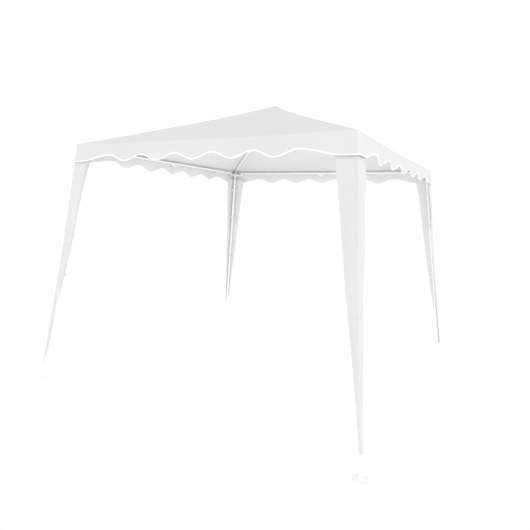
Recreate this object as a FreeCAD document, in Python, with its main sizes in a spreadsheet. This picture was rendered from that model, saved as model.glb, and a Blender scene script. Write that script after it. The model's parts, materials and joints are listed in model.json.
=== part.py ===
import FreeCAD, Part
import math
import os
import re

import Sketcher
from FreeCAD import Placement, Rotation, Vector

# A pop up canopy with a square fabric roof on slanted telescoping legs.
# The frame folds up: every eave bar and every hip bar is hinged in the middle, and the four corner
# brackets come in towards the centre while the middles rise.
# Millimetres, +Z up, origin on the ground under the peak, front is -Y.

doc = FreeCAD.newDocument("pop_up_canopy")
sheet = doc.addObject("Spreadsheet::Sheet", "Sizes")

SIZES = (
    ("eave_span", 1150, "half eave bar, pin to pin"),
    ("hub_pin_radius", 80, "hub centre to a hip pin"),
    ("hip_inset", 36, "corner centre to the hip pin, along the diagonal"),
    ("hip_slope", 14.43, "slope of a hip bar, degrees"),
    ("eave_pin_height", 2016, "ground to the eave pins"),
    ("hip_pin_rise", 23.5, "eave pins up to the hip pin in a corner bracket"),
    ("leg_pin_fall", 31, "eave pins down to the leg pin"),
    ("leg_inset", 14, "corner centre to the leg pin, along the diagonal"),
    ("leg_splay", 9.5, "lean of a leg, degrees"),
    ("eave_diameter", 19, "eave tube"),
    ("hip_diameter", 22, "hip tube"),
    ("tube_wall", 1.2, "wall of the eave, hip and leg tubes"),
    ("eave_drop", 24, "eave pins below the tube's axis"),
    ("hip_drop", 26, "hip pins below the tube's axis"),
    ("near_gap", 20, "bracket pin to the start of the tube"),
    ("far_gap", 2, "knuckle pin to the end of the tube"),
    ("plug_length", 26, "plug in a tube's end"),
    ("tongue_thick", 6, "tongue plates on the tubes"),
    ("tongue_reach", 38, "length of a tongue plate"),
    ("tongue_below", 6, "tongue plate's edge below the pins"),
    ("eye_radius", 12, "round eye around a pin"),
    ("slot_width", 6.6, "slots that take a tongue"),
    ("pin_diameter", 6, "pins of the bars"),
    ("pin_clearance", 0.1, "hole over pin, on the diameter"),
    ("pin_head_radius", 4.8, "heads of pins and rivets"),
    ("pin_head_thick", 1.6, "heads of pins and rivets"),
    ("sleeve_wall", 2, "sleeve of a knuckle around its tube"),
    ("sleeve_start", 36, "knuckle pin to the sleeve's far end"),
    ("sleeve_length", 31, "sleeve of a knuckle"),
    ("fork_width", 17, "fork of a knuckle, over both cheeks"),
    ("fit_gap", 0.05, "radial gap between a tube and its sleeve"),
    ("hub_core_radius", 46, "core of the hub"),
    ("hub_half_height", 16, "hub core above and below its pins"),
    ("hub_ear_width", 22, "pair of ears of the hub"),
    ("hub_slot_start", 41, "inner end of a slot in the hub"),
    ("hub_post_radius", 24, "post under the hub cap"),
    ("cap_radius", 45, "dome on the hub"),
    ("cap_edge_rise", 78, "hub pins up to the dome's lower face"),
    ("cap_rim", 6, "straight rim of the dome"),
    ("cap_crown", 16, "crown of the dome over its rim"),
    ("post_radius", 14, "upright post of a corner bracket"),
    ("post_below", 14, "post below the eave pins"),
    ("arm_width", 20, "arm of a corner bracket"),
    ("arm_half_height", 12, "arm above and below the eave pins"),
    ("arm_slot_start", 26, "eave pin back to the slot's inner end"),
    ("lug_width", 18.6, "hip lug of a corner bracket"),
    ("lug_slot_start", 29, "hip pin back to the slot's inner end"),
    ("clevis_width", 26, "leg clevis of a corner bracket"),
    ("clevis_slot", 12.6, "slot for the leg's tongue"),
    ("clevis_eye_radius", 13, "round eye of the leg clevis"),
    ("leg_pin_diameter", 8, "leg pin"),
    ("leg_tongue_thick", 12, "leg tongue"),
    ("leg_eye_radius", 11.5, "round eye of the leg tongue"),
    ("leg_tube_start", 20, "leg pin to the upper tube"),
    ("upper_diameter", 25, "upper leg tube"),
    ("upper_end", 1075, "leg pin to the upper tube's end"),
    ("lower_diameter", 21.8, "lower leg tube"),
    ("lower_start", 955, "leg pin to the lower tube's top"),
    ("collar_start", 1040, "leg pin to the collar"),
    ("collar_length", 52, "collar at the telescoping joint"),
    ("collar_radius", 16.3, "collar"),
    ("collar_lip_bore", 22.2, "bore of the collar's lower lip"),
    ("boss_radius", 11, "button boss of the collar"),
    ("boss_reach", 29, "leg axis to the boss's face"),
    ("button_drop", 1062, "leg pin to the button's axis"),
    ("button_radius", 7, "push button"),
    ("button_start", 17, "leg axis to the button's inner end"),
    ("button_length", 16, "push button"),
    ("button_crown", 1.5, "crown of the push button"),
    ("bore_clearance", 0.1, "radial gap around the push button"),
    ("plate_side", 90, "square foot plate"),
    ("plate_thick", 5, "foot plate"),
    ("plate_corner", 12, "rounded corner of the foot plate"),
    ("stake_hole", 10, "stake holes in the foot plate"),
    ("stake_offset", 31, "plate centre to a stake hole, along each side"),
    ("socket_radius", 14.5, "socket of the foot plate"),
    ("socket_start", 2.7, "ground to the socket's start, along the leg"),
    ("socket_end", 48, "ground to the socket's rim, along the leg"),
    ("foot_gap", 9, "ground to the lower tube's end, along the leg"),
    ("roof_half", 1250, "half of the roof's side, at the fabric's eave"),
    ("roof_edge", 2068, "ground to the fabric's eave"),
    ("shoulder_half", 260, "half side where the peak starts to lift"),
    ("crown_half", 34, "half side of the flat top of the peak"),
    ("peak_height", 2563, "ground to the peak"),
    ("cloth_thick", 2, "fabric of roof and valance"),
    ("cloth_drop", 2.4, "fabric of the roof, measured upright"),
    ("valance_deep", 148, "valance at the low points of its wave"),
    ("valance_shallow", 102, "valance at the high points of its wave"),
    ("wave_pitch", 342.5, "one wave of the valance's edge"),
    ("wave_count", 5, "low points along one side"),
    ("cover_corner", 20, "leg axis to the outer faces of a leg cover"),
    ("cover_top", 78, "leg pin to the top of a leg cover"),
    ("cover_tip", 1760, "leg pin to the tip of a leg cover"),
    ("cover_wide", 150, "flap of a leg cover at the top"),
    ("cover_narrow", 32, "flap of a leg cover at the tip"),
)

CORNERS = {"rear_right": 45, "rear_left": 135, "front_left": 225, "front_right": 315}

# Each side faces the given direction. Its two half bars are named after the corner they start from:
# first the one that carries the knuckle, then the one whose tongue enters it.
SIDES = {
    "front": (270, "left", "right"),
    "right": (0, "front", "rear"),
    "rear": (90, "right", "left"),
    "left": (180, "rear", "front"),
}


def fill_sheet():
    for row, (alias, number, meaning) in enumerate(SIZES, start=1):
        sheet.set(f"A{row}", meaning)
        sheet.set(f"B{row}", str(number))
        sheet.setAlias(f"B{row}", alias)
    doc.recompute()


fill_sheet()
ALIASES = {alias for alias, _, _ in SIZES}


def formula(text):
    """The same formula with each bare size name pointed at the sheet."""
    return re.sub(
        r"[a-z_]+", lambda found: ("Sizes." if found[0] in ALIASES else "") + found[0], str(text)
    )


def value(text):
    """The number that a formula of sheet sizes gives, in mm or degrees."""
    return float(sheet.evalExpression(formula(text)))


# Lengths that follow from the driving sizes. With them the folding frame closes exactly at every
# angle: the eave halves and the hip halves shorten by the same share as the fold opens.
CORNER_REACH = "(hub_pin_radius + hip_inset) / sqrt(2)"
CORNER_HALF = f"(eave_span + {CORNER_REACH})"
HIP_SPAN = "(eave_span / (sqrt(2) * cos(hip_slope * 1deg)))"
HUB_RISE = "(hip_pin_rise + sqrt(2) * eave_span * tan(hip_slope * 1deg))"
LEG_LENGTH = "((eave_pin_height - leg_pin_fall) / cos(leg_splay * 1deg))"
LEG_RADIUS = f"(sqrt(2) * {CORNER_HALF} - leg_inset)"

PIECES = []


def keep(item, label, placement):
    """Name a finished sub-part and set it in its place."""
    item.Label = label
    item.Placement = placement
    PIECES.append(item)
    return item


# ---------------------------------------------------------------- sketched solids


def new_body():
    return doc.addObject("PartDesign::Body", "Body")


def new_sketch(body, role, x=0, y=0, z=0):
    """A sketch on one of the body's origin planes, moved in the plane by x and y and off it by z."""
    sketch = body.newObject("Sketcher::SketchObject", "Sketch")
    plane = next(f for f in body.Origin.OriginFeatures if f.Role == role)
    sketch.AttachmentSupport = [(plane, "")]
    sketch.MapMode = "FlatFace"
    for axis, offset in (("x", x), ("y", y), ("z", z)):
        sketch.setExpression(f"AttachmentOffset.Base.{axis}", formula(offset))
    return sketch


def add_circle(sketch, radius):
    edge = sketch.addGeometry(Part.Circle(Vector(0, 0, 0), Vector(0, 0, 1), value(radius)), False)
    sketch.addConstraint(Sketcher.Constraint("Coincident", edge, 3, -1, 1))
    size = sketch.addConstraint(Sketcher.Constraint("Radius", edge, value(radius)))
    sketch.setExpression(f"Constraints[{size}]", formula(radius))


def add_rectangle(sketch, width, height):
    """A rectangle centred on the sketch's origin."""
    half_x = value(width) / 2
    half_y = value(height) / 2
    ends = [Vector(sx * half_x, sy * half_y, 0) for sx, sy in ((-1, -1), (1, -1), (1, 1), (-1, 1))]
    lines = [
        sketch.addGeometry(Part.LineSegment(ends[i], ends[(i + 1) % 4]), False) for i in range(4)
    ]
    for i, line in enumerate(lines):
        sketch.addConstraint(Sketcher.Constraint("Coincident", line, 2, lines[(i + 1) % 4], 1))
        sketch.addConstraint(Sketcher.Constraint("Vertical" if i % 2 else "Horizontal", line))
    sketch.addConstraint(Sketcher.Constraint("Symmetric", lines[0], 1, lines[2], 1, -1, 1))
    across = sketch.addConstraint(
        Sketcher.Constraint("DistanceX", lines[0], 1, lines[0], 2, 2 * half_x)
    )
    sketch.setExpression(f"Constraints[{across}]", formula(width))
    upright = sketch.addConstraint(
        Sketcher.Constraint("DistanceY", lines[1], 1, lines[1], 2, 2 * half_y)
    )
    sketch.setExpression(f"Constraints[{upright}]", formula(height))


def extrude(body, kind, sketch, length, both_ways=False):
    feature = body.newObject(kind, kind.split("::")[1])
    feature.Profile = sketch
    feature.SideType = "Symmetric" if both_ways else "One side"
    feature.setExpression("Length", formula(length))
    return feature


def pad(body, sketch, length, both_ways=False):
    return extrude(body, "PartDesign::Pad", sketch, length, both_ways)


def pocket(body, sketch, length, both_ways=False):
    return extrude(body, "PartDesign::Pocket", sketch, length, both_ways)


def pad_ring(body, role, outer, inner, x, y, start, length):
    sketch = new_sketch(body, role, x, y, start)
    add_circle(sketch, outer)
    add_circle(sketch, inner)
    return pad(body, sketch, length)


def pad_disc(body, role, radius, x, y, start, length, both_ways=False):
    sketch = new_sketch(body, role, x, y, start)
    add_circle(sketch, radius)
    return pad(body, sketch, length, both_ways)


def pad_rectangle(body, role, width, height, x, y, start, length, both_ways=False):
    sketch = new_sketch(body, role, x, y, start)
    add_rectangle(sketch, width, height)
    return pad(body, sketch, length, both_ways)


def pocket_disc(body, role, radius, x, y, start, length, both_ways=False):
    sketch = new_sketch(body, role, x, y, start)
    add_circle(sketch, radius)
    return pocket(body, sketch, length, both_ways)


# ---------------------------------------------------------------- primitive solids


def bind_place(item, x, y, z, turn, rotation):
    """Move an item by x, y, z and turn the result about the origin's vertical by turn degrees."""
    item.Placement = Placement(Vector(0, 0, 0), Rotation(Vector(0, 0, 1), turn) * rotation)
    across = f"cos({turn} deg) * ({x}) - sin({turn} deg) * ({y})"
    along = f"sin({turn} deg) * ({x}) + cos({turn} deg) * ({y})"
    for axis, text in (("x", across), ("y", along), ("z", z)):
        item.setExpression(f"Placement.Base.{axis}", formula(text))


def block(length, width, height, x, z, turn=0):
    """A box from x outwards, centred across, from z upwards."""
    item = doc.addObject("Part::Box", "Box")
    for name, size in (("Length", length), ("Width", width), ("Height", height)):
        item.setExpression(name, formula(size))
    bind_place(item, x, f"0 - ({width}) / 2", z, turn, Rotation())
    return item


def rod(radius, length, x, y, z, turn=0, rotation=Rotation()):
    item = doc.addObject("Part::Cylinder", "Cylinder")
    item.setExpression("Radius", formula(radius))
    item.setExpression("Height", formula(length))
    bind_place(item, x, y, z, turn, rotation)
    return item


def upright_rod(radius, length, x, z):
    return rod(radius, length, x, 0, z)


def cross_rod(radius, length, x, z, turn=0):
    """A cylinder that lies across the x direction, centred on it."""
    return rod(radius, length, x, f"0 - ({length}) / 2", z, turn, Rotation(Vector(1, 0, 0), -90))


def fuse(items):
    item = doc.addObject("Part::MultiFuse", "Fusion")
    item.Shapes = items
    item.Refine = True
    return item


def cut(base, tools):
    item = doc.addObject("Part::Cut", "Cut")
    item.Base = base
    item.Tool = fuse(tools) if len(tools) > 1 else tools[0]
    item.Refine = True
    return item


def group(items):
    """Several separate solids of one kind that share a node."""
    item = doc.addObject("Part::Compound", "Compound")
    item.Links = items
    return item


def pin(shank, width, x, z, turn=0):
    """A headed pin across the x direction, through a fork of the given width."""
    heads = f"({width}) + 2 * pin_head_thick"
    whole = cross_rod("pin_head_radius", heads, x, z, turn)
    waist = cut(
        cross_rod("2 * pin_head_radius", width, x, z, turn),
        [cross_rod(shank, width, x, z, turn)],
    )
    return cut(whole, [waist])


# ---------------------------------------------------------------- bars and knuckles


def bar(label, placement, span, diameter, drop, far_tongue):
    """A hinged tube. Its near pin is the origin, its far pin lies on +X, its axis runs above both."""
    body = new_body()
    radius = f"{diameter} / 2"
    bore = f"{diameter} / 2 - tube_wall"
    length = f"{span} - near_gap - far_gap"
    eye_hole = "(pin_diameter + pin_clearance) / 2"
    pad_ring(body, "YZ_Plane", radius, bore, 0, drop, "near_gap", length)
    pad_disc(body, "YZ_Plane", bore, 0, drop, "near_gap", "plug_length")
    pad_rectangle(
        body, "XZ_Plane",
        "tongue_reach", f"{drop} + tongue_below",
        "tongue_reach / 2", f"({drop} - tongue_below) / 2",
        0, "tongue_thick", True,
    )
    pad_disc(body, "XZ_Plane", "eye_radius", 0, 0, 0, "tongue_thick", True)
    pocket_disc(body, "XZ_Plane", eye_hole, 0, 0, 0, "2 * tongue_thick", True)
    pad_disc(body, "YZ_Plane", bore, 0, drop, f"{span} - far_gap - plug_length", "plug_length")
    if far_tongue:
        tongue_top = f"({drop} - {diameter} / 2 + tube_wall)"
        pad_rectangle(
            body, "XZ_Plane",
            "tongue_reach - far_gap", f"{tongue_top} + tongue_below",
            f"{span} - far_gap - (tongue_reach - far_gap) / 2", f"({tongue_top} - tongue_below) / 2",
            0, "tongue_thick", True,
        )
        pad_disc(body, "XZ_Plane", "eye_radius", span, 0, 0, "tongue_thick", True)
        pocket_disc(body, "XZ_Plane", eye_hole, span, 0, 0, "2 * tongue_thick", True)
    return keep(body, label, placement)


def knuckle(label, placement, span, diameter, drop):
    """The riveted fork at the far end of a bar, in the same frame as the bar."""
    body = new_body()
    sleeve_at = f"{span} - sleeve_start"
    sleeve_radius = f"{diameter} / 2 + sleeve_wall"
    slot_top = f"({drop} - {diameter} / 2 - sleeve_wall)"
    pad_disc(body, "YZ_Plane", sleeve_radius, 0, drop, sleeve_at, "sleeve_length")
    pad_rectangle(
        body, "XZ_Plane",
        "sleeve_length", f"{drop} + tongue_below",
        f"{sleeve_at} + sleeve_length / 2", f"({drop} - tongue_below) / 2",
        0, "fork_width", True,
    )
    pad_disc(body, "XZ_Plane", "eye_radius", span, 0, 0, "fork_width", True)
    slot_at = f"{span} - sleeve_start / 2 + eye_radius / 2"
    slot = new_sketch(body, "XZ_Plane", slot_at, f"{slot_top} / 2 - eye_radius / 2")
    add_rectangle(slot, "sleeve_start + eye_radius + 2", f"{slot_top} + eye_radius")
    pocket(body, slot, "slot_width", True)
    hole = new_sketch(body, "YZ_Plane", 0, drop, f"{sleeve_at} + sleeve_length + 1")
    add_circle(hole, f"{diameter} / 2 + fit_gap")
    pocket(body, hole, "sleeve_length + 2")
    pad_disc(body, "XZ_Plane", "pin_diameter / 2", span, 0, 0, "fork_width + pin_head_thick", True)
    for side in ("fork_width / 2", "0 - fork_width / 2 - pin_head_thick"):
        pad_disc(body, "XZ_Plane", "pin_head_radius", span, 0, side, "pin_head_thick")
    return keep(body, label, placement)


# ---------------------------------------------------------------- hub


def hub_body():
    """A core with a pair of ears towards each corner and the post that carries the cap."""
    height = "2 * hub_half_height"
    low = "0 - hub_half_height"
    hole_radius = "(pin_diameter + pin_clearance) / 2"
    solids = [
        upright_rod("hub_core_radius", height, 0, low),
        upright_rod("hub_post_radius", "cap_edge_rise", 0, 0),
    ]
    slots = []
    for turn in CORNERS.values():
        solids.append(block("hub_pin_radius", "hub_ear_width", height, 0, low, turn))
        solids.append(cross_rod("hub_half_height", "hub_ear_width", "hub_pin_radius", 0, turn))
        slots.append(
            block("hub_pin_radius", "slot_width", "3 * hub_half_height", "hub_slot_start", low, turn)
        )
        slots.append(cross_rod(hole_radius, "2 * hub_ear_width", "hub_pin_radius", 0, turn))
    return cut(fuse(solids), slots)


def hub_cap():
    """The dome that lifts the peak of the roof, turned from one profile."""
    body = new_body()
    pad_disc(body, "XY_Plane", "cap_radius", 0, 0, 0, "cap_rim")
    sketch = new_sketch(body, "XZ_Plane", 0, "cap_rim")
    radius = value("cap_radius")
    crown = value("cap_crown")
    top = Vector(0, crown, 0)
    rim = Vector(radius, 0, 0)
    centre = Vector(0, 0, 0)
    arc_middle = Vector(radius * 0.62, crown * 0.72, 0)
    base = sketch.addGeometry(Part.LineSegment(centre, rim), False)
    arc = sketch.addGeometry(Part.Arc(rim, arc_middle, top), False)
    axis = sketch.addGeometry(Part.LineSegment(top, centre), False)
    sketch.addConstraint(Sketcher.Constraint("Coincident", base, 1, -1, 1))
    sketch.addConstraint(Sketcher.Constraint("Coincident", axis, 2, -1, 1))
    sketch.addConstraint(Sketcher.Constraint("Horizontal", base))
    sketch.addConstraint(Sketcher.Constraint("Vertical", axis))
    starts_at_rim = sketch.Geometry[arc].StartPoint.distanceToPoint(rim) < 1
    rim_end, top_end = (1, 2) if starts_at_rim else (2, 1)
    sketch.addConstraint(Sketcher.Constraint("Coincident", base, 2, arc, rim_end))
    sketch.addConstraint(Sketcher.Constraint("Coincident", axis, 1, arc, top_end))
    across = sketch.addConstraint(Sketcher.Constraint("DistanceX", base, 1, base, 2, radius))
    sketch.setExpression(f"Constraints[{across}]", formula("cap_radius"))
    upright = sketch.addConstraint(Sketcher.Constraint("DistanceY", axis, 2, axis, 1, crown))
    sketch.setExpression(f"Constraints[{upright}]", formula("cap_crown"))
    turned = body.newObject("PartDesign::Revolution", "Revolution")
    turned.Profile = sketch
    turned.ReferenceAxis = (sketch, ["V_Axis"])
    turned.Angle = 360
    return body


def build_hub():
    height = value(f"eave_pin_height + {HUB_RISE}")
    at_pins = Placement(Vector(0, 0, height), Rotation())
    at_cap = Placement(Vector(0, 0, height + value("cap_edge_rise")), Rotation())
    keep(hub_body(), "hub_body", at_pins)
    keep(hub_cap(), "hub_cap", at_cap)
    pins = [
        pin("pin_diameter / 2", "hub_ear_width", "hub_pin_radius", 0, turn)
        for turn in CORNERS.values()
    ]
    keep(group(pins), "hub_pins", at_pins)


# ---------------------------------------------------------------- hips


def build_hips():
    """Each hip is two equal bars. The upper one starts at the hub, the lower one at the corner."""
    slope = value("hip_slope")
    hub_height = value(f"eave_pin_height + {HUB_RISE}")
    for corner, turn in CORNERS.items():
        outward = Rotation(Vector(0, 0, 1), turn)
        inward = Rotation(Vector(0, 0, 1), turn + 180)
        hub_end = outward.multVec(Vector(value("hub_pin_radius"), 0, hub_height))
        corner_radius = value(f"sqrt(2) * {CORNER_HALF} - hip_inset")
        corner_end = outward.multVec(
            Vector(corner_radius, 0, value("eave_pin_height + hip_pin_rise"))
        )
        down = Placement(hub_end, outward * Rotation(Vector(0, 1, 0), slope))
        up = Placement(corner_end, inward * Rotation(Vector(0, 1, 0), -slope))
        bar(f"hip_upper_{corner}", down, HIP_SPAN, "hip_diameter", "hip_drop", True)
        bar(f"hip_lower_{corner}", up, HIP_SPAN, "hip_diameter", "hip_drop", False)
        knuckle(f"hip_knuckle_{corner}", up, HIP_SPAN, "hip_diameter", "hip_drop")


# ---------------------------------------------------------------- eaves


def build_eaves():
    """Each side has two equal half bars that meet in a knuckle at mid-span."""
    for side, (facing, forked, plain) in SIDES.items():
        facing_turn = Rotation(Vector(0, 0, 1), facing)
        for name, direction, has_tongue in ((forked, 1, False), (plain, -1, True)):
            start = facing_turn.multVec(
                Vector(value(CORNER_HALF), -direction * value("eave_span"), value("eave_pin_height"))
            )
            placement = Placement(start, Rotation(Vector(0, 0, 1), facing + 90 * direction))
            sizes = ("eave_span", "eave_diameter", "eave_drop")
            bar(f"eave_{side}_{name}", placement, *sizes, has_tongue)
            if not has_tongue:
                knuckle(f"eave_knuckle_{side}", placement, *sizes)


# ---------------------------------------------------------------- corner brackets


def corner_bracket():
    """A post with an arm along each eave, a lug towards the hub and a clevis for the leg."""
    post_top = "(hip_pin_rise + eye_radius)"
    arm_length = CORNER_REACH
    clevis_x = "0 - leg_inset"
    solids = [
        upright_rod("post_radius", f"{post_top} + post_below", 0, "0 - post_below"),
        block("hip_inset", "lug_width", "2 * eye_radius", 0, "hip_pin_rise - eye_radius", 180),
        cross_rod("eye_radius", "lug_width", "hip_inset", "hip_pin_rise", 180),
        block(
            "2 * clevis_eye_radius", "clevis_width", "leg_pin_fall",
            f"{clevis_x} - clevis_eye_radius", "0 - leg_pin_fall",
        ),
        cross_rod("clevis_eye_radius", "clevis_width", clevis_x, "0 - leg_pin_fall"),
    ]
    slots = [
        block(
            "lug_slot_start + eye_radius + 1", "slot_width", "4 * eye_radius",
            "hip_inset - lug_slot_start", "hip_pin_rise - eye_radius - 1", 180,
        ),
        block(
            "6 * clevis_eye_radius", "clevis_slot",
            "leg_pin_fall + clevis_eye_radius - post_below - 2",
            f"{clevis_x} - 3 * clevis_eye_radius", "0 - leg_pin_fall - clevis_eye_radius - 1",
        ),
        cross_rod(
            "(leg_pin_diameter + pin_clearance) / 2", "2 * clevis_width", clevis_x, "0 - leg_pin_fall"
        ),
        cross_rod(
            "(pin_diameter + pin_clearance) / 2", "2 * lug_width", "hip_inset", "hip_pin_rise", 180
        ),
    ]
    for turn in (135, 225):
        solids.append(
            block(arm_length, "arm_width", "2 * arm_half_height", 0, "0 - arm_half_height", turn)
        )
        solids.append(cross_rod("arm_half_height", "arm_width", arm_length, 0, turn))
        slots.append(
            block(
                "2 * arm_slot_start", "slot_width", "4 * arm_half_height",
                f"{arm_length} - arm_slot_start", "0 - 2 * arm_half_height", turn,
            )
        )
        slots.append(
            cross_rod("(pin_diameter + pin_clearance) / 2", "2 * arm_width", arm_length, 0, turn)
        )
    return cut(fuse(solids), slots)


def corner_pins():
    arm_length = CORNER_REACH
    pins = [pin("pin_diameter / 2", "arm_width", arm_length, 0, turn) for turn in (135, 225)]
    pins.append(pin("pin_diameter / 2", "lug_width", "hip_inset", "hip_pin_rise", 180))
    pins.append(pin("leg_pin_diameter / 2", "clevis_width", "0 - leg_inset", "0 - leg_pin_fall"))
    return group(pins)


def build_corners():
    for corner, turn in CORNERS.items():
        outward = Rotation(Vector(0, 0, 1), turn)
        centre = outward.multVec(
            Vector(value(f"sqrt(2) * {CORNER_HALF}"), 0, value("eave_pin_height"))
        )
        keep(corner_bracket(), f"corner_bracket_{corner}", Placement(centre, outward))
        keep(corner_pins(), f"corner_pins_{corner}", Placement(centre, outward))


# ---------------------------------------------------------------- legs


def leg_upper():
    """The leg pin is the origin and the leg runs down -Z. +X points away from the canopy's centre."""
    body = new_body()
    length = "upper_end - leg_tube_start"
    bore = "upper_diameter / 2 - tube_wall"
    pad_ring(body, "XY_Plane", "upper_diameter / 2", bore, 0, 0, "0 - upper_end", length)
    pad_disc(body, "XY_Plane", bore, 0, 0, "0 - leg_tube_start - plug_length", "plug_length")
    pad_rectangle(
        body, "XZ_Plane",
        "2 * leg_eye_radius - 3", "tongue_reach",
        0, "0 - tongue_reach / 2",
        0, "leg_tongue_thick", True,
    )
    pad_disc(body, "XZ_Plane", "leg_eye_radius", 0, 0, 0, "leg_tongue_thick", True)
    hole = "(leg_pin_diameter + pin_clearance) / 2"
    pocket_disc(body, "XZ_Plane", hole, 0, 0, 0, "2 * leg_tongue_thick", True)
    return body


def leg_collar():
    """A sleeve over the upper tube's end, with a lip around the lower tube and a boss for the button."""
    body = new_body()
    low = "0 - collar_start - collar_length"
    pad_disc(body, "XY_Plane", "collar_radius", 0, 0, low, "collar_length")
    pad_disc(body, "YZ_Plane", "boss_radius", 0, "0 - button_drop", "0 - boss_reach", "boss_reach")
    lip = new_sketch(body, "XY_Plane", 0, 0, "0 - collar_start + 1")
    add_circle(lip, "collar_lip_bore / 2")
    pocket(body, lip, "collar_length + 2")
    bore = new_sketch(body, "XY_Plane", 0, 0, "0 - collar_start + 1")
    add_circle(bore, "upper_diameter / 2 + fit_gap")
    pocket(body, bore, "upper_end - collar_start + 1 + fit_gap")
    well = new_sketch(body, "YZ_Plane", 0, "0 - button_drop", 0)
    add_circle(well, "button_radius + bore_clearance")
    pocket(body, well, "boss_reach + 1")
    return body


def snap_button():
    body = new_body()
    place = ("0 - button_start - button_length", "button_length")
    pad_disc(body, "YZ_Plane", "button_radius", 0, "0 - button_drop", *place)
    pad_disc(
        body, "YZ_Plane", "button_radius - button_crown", 0, "0 - button_drop",
        "0 - button_start - button_length - button_crown", "button_crown",
    )
    return body


def leg_lower():
    body = new_body()
    length = f"{LEG_LENGTH} - foot_gap - lower_start"
    bore = "lower_diameter / 2 - tube_wall"
    end = f"foot_gap - {LEG_LENGTH}"
    pad_ring(body, "XY_Plane", "lower_diameter / 2", bore, 0, 0, end, length)
    pad_disc(body, "XY_Plane", bore, 0, 0, "0 - lower_start - plug_length", "plug_length")
    return body


def foot_plate():
    """A flat plate on the ground with a leaning socket for the leg and four stake holes."""
    side = "plate_side - 2 * plate_corner"
    corner_at = "(plate_side / 2 - plate_corner)"
    plates = [
        block(side, "plate_side", "plate_thick", f"0 - ({side}) / 2", 0),
        block("plate_side", side, "plate_thick", "0 - plate_side / 2", 0),
    ]
    holes = []
    for sign_x in (-1, 1):
        for sign_y in (-1, 1):
            at_x = f"{sign_x} * {corner_at}"
            at_y = f"{sign_y} * {corner_at}"
            plates.append(rod("plate_corner", "plate_thick", at_x, at_y, 0))
            holes.append(
                rod(
                    "stake_hole / 2", "3 * plate_thick",
                    f"{sign_x} * stake_offset", f"{sign_y} * stake_offset", "0 - plate_thick",
                )
            )
    lean = Rotation(Vector(0, 0, 1), 45) * Rotation(Vector(0, 1, 0), -value("leg_splay"))
    along = lean.multVec(Vector(0, 0, 1))
    socket = rod("socket_radius", "socket_end - socket_start", 0, 0, 0, 0, lean)
    bore = rod("lower_diameter / 2 + fit_gap", "socket_end", 0, 0, 0, 0, lean)
    for item, start in ((socket, "socket_start"), (bore, "foot_gap - 1")):
        for axis, share in zip("xyz", along):
            item.setExpression(f"Placement.Base.{axis}", formula(f"{share} * ({start})"))
    return cut(fuse(plates + [socket]), holes + [bore])


def build_legs():
    splay = value("leg_splay")
    foot_radius = value(LEG_RADIUS) + value(LEG_LENGTH) * math.sin(math.radians(splay))
    top_height = value("eave_pin_height - leg_pin_fall")
    across_corner = Placement(Vector(0, 0, 0), Rotation(Vector(0, 0, 1), 45))
    for corner, turn in CORNERS.items():
        outward = Rotation(Vector(0, 0, 1), turn)
        square_on = Rotation(Vector(0, 0, 1), turn - 45)
        top = outward.multVec(Vector(value(LEG_RADIUS), 0, top_height))
        leg = Placement(top, outward * Rotation(Vector(0, 1, 0), -splay))
        keep(leg_upper(), f"leg_upper_{corner}", leg)
        keep(leg_collar(), f"leg_collar_{corner}", leg)
        keep(snap_button(), f"leg_button_{corner}", leg)
        keep(leg_lower(), f"leg_lower_{corner}", leg)
        foot = outward.multVec(Vector(foot_radius, 0, 0))
        keep(foot_plate(), f"foot_plate_{corner}", Placement(foot, square_on))
        keep(leg_cover(), f"leg_cover_{corner}", leg * across_corner)


# ---------------------------------------------------------------- fabric


def leg_cover():
    """Two tapered flaps that meet at the leg's outer edge, as one thin closed solid."""
    corner = value("cover_corner")
    thick = value("cloth_thick")
    sections = []
    for depth, flap in (("cover_top", "cover_wide"), ("cover_tip", "cover_narrow")):
        inner = corner - value(flap)
        outline = [
            (corner, corner), (inner, corner), (inner, corner - thick),
            (corner - thick, corner - thick), (corner - thick, inner), (corner, inner),
        ]
        height = -value(depth)
        # +X and -Y of this frame both point away from the canopy's centre, one along each eave
        points = [Vector(x, -y, height) for x, y in outline]
        sections.append(Part.makePolygon(points + points[:1]))
    item = doc.addObject("Part::Feature", "Cloth")
    item.Shape = Part.makeLoft(sections, True, True)
    return item


def square(half, height):
    signs = ((-1, -1), (1, -1), (1, 1), (-1, 1))
    points = [Vector(sx * half, sy * half, height) for sx, sy in signs]
    return Part.makePolygon(points + points[:1])


def roof_block(inset, fall, bottom):
    """The solid under the roof's outer face, brought in by inset and down by fall."""
    edge = value("roof_half") - inset
    hip_rise = math.sqrt(2) * math.tan(math.radians(value("hip_slope")))
    shoulder = value("roof_edge") + hip_rise * (value("roof_half") - value("shoulder_half"))
    slope = Part.makeLoft(
        [
            square(edge, value("roof_edge") - fall),
            square(value("shoulder_half") - inset / 2, shoulder - fall),
            square(value("crown_half"), value("peak_height") - fall),
        ],
        True, True,
    )
    height = value("roof_edge") - fall - bottom
    skirt = Part.makeBox(2 * edge, 2 * edge, height, Vector(-edge, -edge, bottom))
    return slope.fuse(skirt).removeSplitter()


def valance_depth(distance):
    """Depth of the valance at a distance from the middle of its side, low at the middle."""
    deep = value("valance_deep")
    shallow = value("valance_shallow")
    pitch = value("wave_pitch")
    last_crest = pitch * value("wave_count") / 2
    if abs(distance) < last_crest:
        wave = math.cos(2 * math.pi * distance / pitch)
        return (deep + shallow) / 2 + (deep - shallow) / 2 * wave
    share = (abs(distance) - last_crest) / (value("roof_half") - last_crest)
    return shallow + (deep - shallow) * (1 - math.cos(math.pi * share)) / 2


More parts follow.
